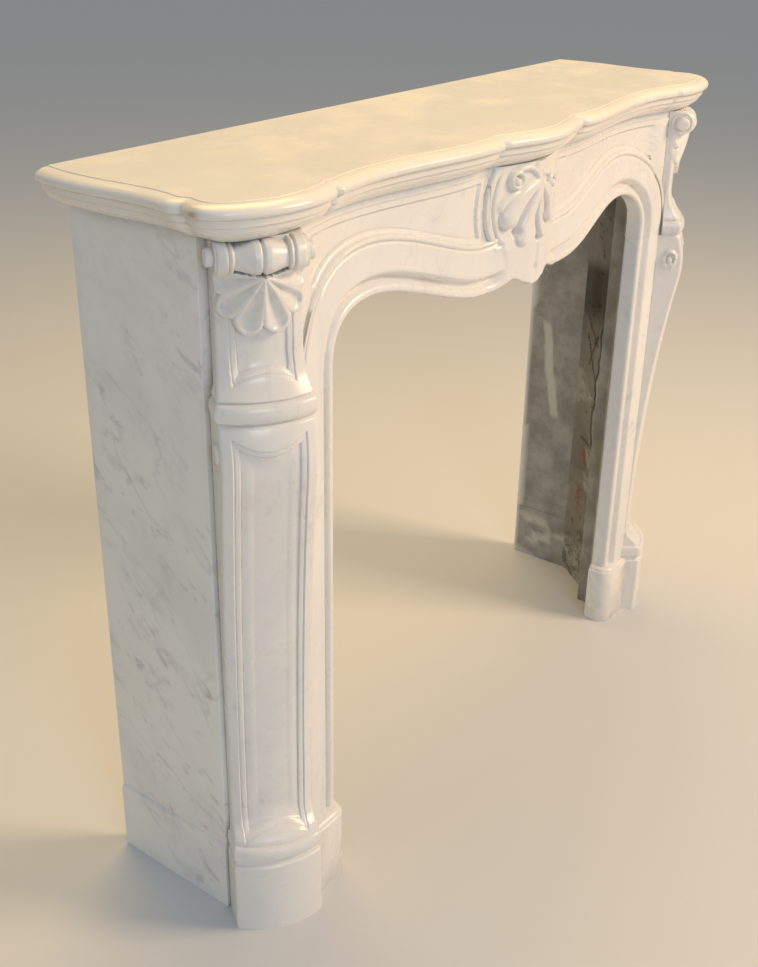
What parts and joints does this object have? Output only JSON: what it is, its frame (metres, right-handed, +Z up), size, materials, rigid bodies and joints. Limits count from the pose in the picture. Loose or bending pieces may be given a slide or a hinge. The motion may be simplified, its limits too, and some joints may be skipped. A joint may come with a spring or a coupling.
{
  "type": "fireplace mantel",
  "caption": "Free-standing marble fireplace mantel with a serpentine moulded shelf, an arched carved frieze and canted console legs.",
  "frame": {"origin": "on the floor, at the middle of the box: halfway across the width and halfway between the wall line and the front of the shelf", "axes": "+X to the right seen from the room, +Y towards the wall, +Z up"},
  "size_m": [1.2706, 0.345, 1.05],
  "materials": {
    "marble": "polished white marble with faint grey veins",
    "mortar": "rough grey lime mortar with brick traces"
  },
  "bodies": {
    "root": {"shelf": "marble", "frieze": "marble", "left_leg": "marble", "right_leg": "marble", "left_side_slab": "marble", "right_side_slab": "marble", "left_skirting": "marble", "right_skirting": "marble", "left_mortar": "mortar", "right_mortar": "mortar"}
  },
  "joints": []
}
